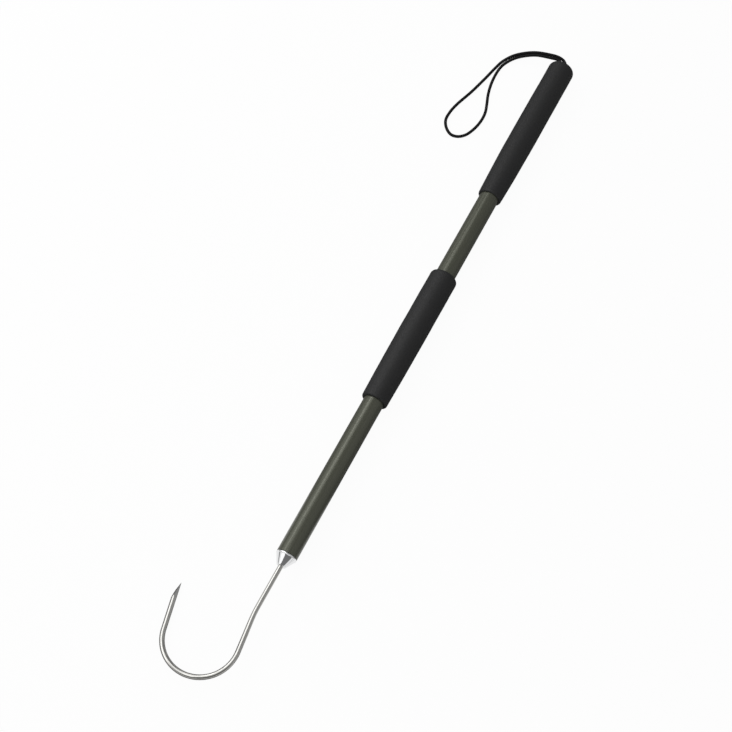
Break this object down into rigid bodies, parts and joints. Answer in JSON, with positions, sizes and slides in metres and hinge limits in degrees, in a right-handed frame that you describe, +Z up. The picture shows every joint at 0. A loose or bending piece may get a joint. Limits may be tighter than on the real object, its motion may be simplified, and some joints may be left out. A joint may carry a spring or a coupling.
{
  "type": "fishing gaff",
  "caption": "Hand gaff with a bent wire hook in a bright nose ferrule, a straight metal tube, two foam grips and a cord wrist lanyard at the butt.",
  "frame": {"origin": "on the surface the gaff lies on, under the middle of the rigid gaff's box", "axes": "+X along the pole from the hook to the butt, +Y to the side of the hook's point, +Z up from the surface"},
  "size_m": [0.9624, 0.1201, 0.0349],
  "materials": {
    "stainless_wire": "polished round wire with ground facets at the point",
    "bright_aluminium": "turned and polished",
    "anodised_tube": "olive-grey satin anodised",
    "grip_foam": "black closed-cell foam, fine matt grain",
    "black_cord": "fine braid",
    "seal_rubber": "smooth",
    "spring_steel": "plain",
    "black_nylon": "moulded"
  },
  "bodies": {
    "root": {"hook": "stainless_wire", "nose_ferrule": "bright_aluminium", "ferrule_o_ring": "seal_rubber", "hook_pin": "spring_steel", "pole_tube": "anodised_tube", "fore_grip": "grip_foam", "rear_grip": "grip_foam", "butt_plug": "black_nylon", "knot_washer": "spring_steel", "lanyard_knot": "black_cord", "lanyard_cord": "black_cord"}
  },
  "joints": []
}
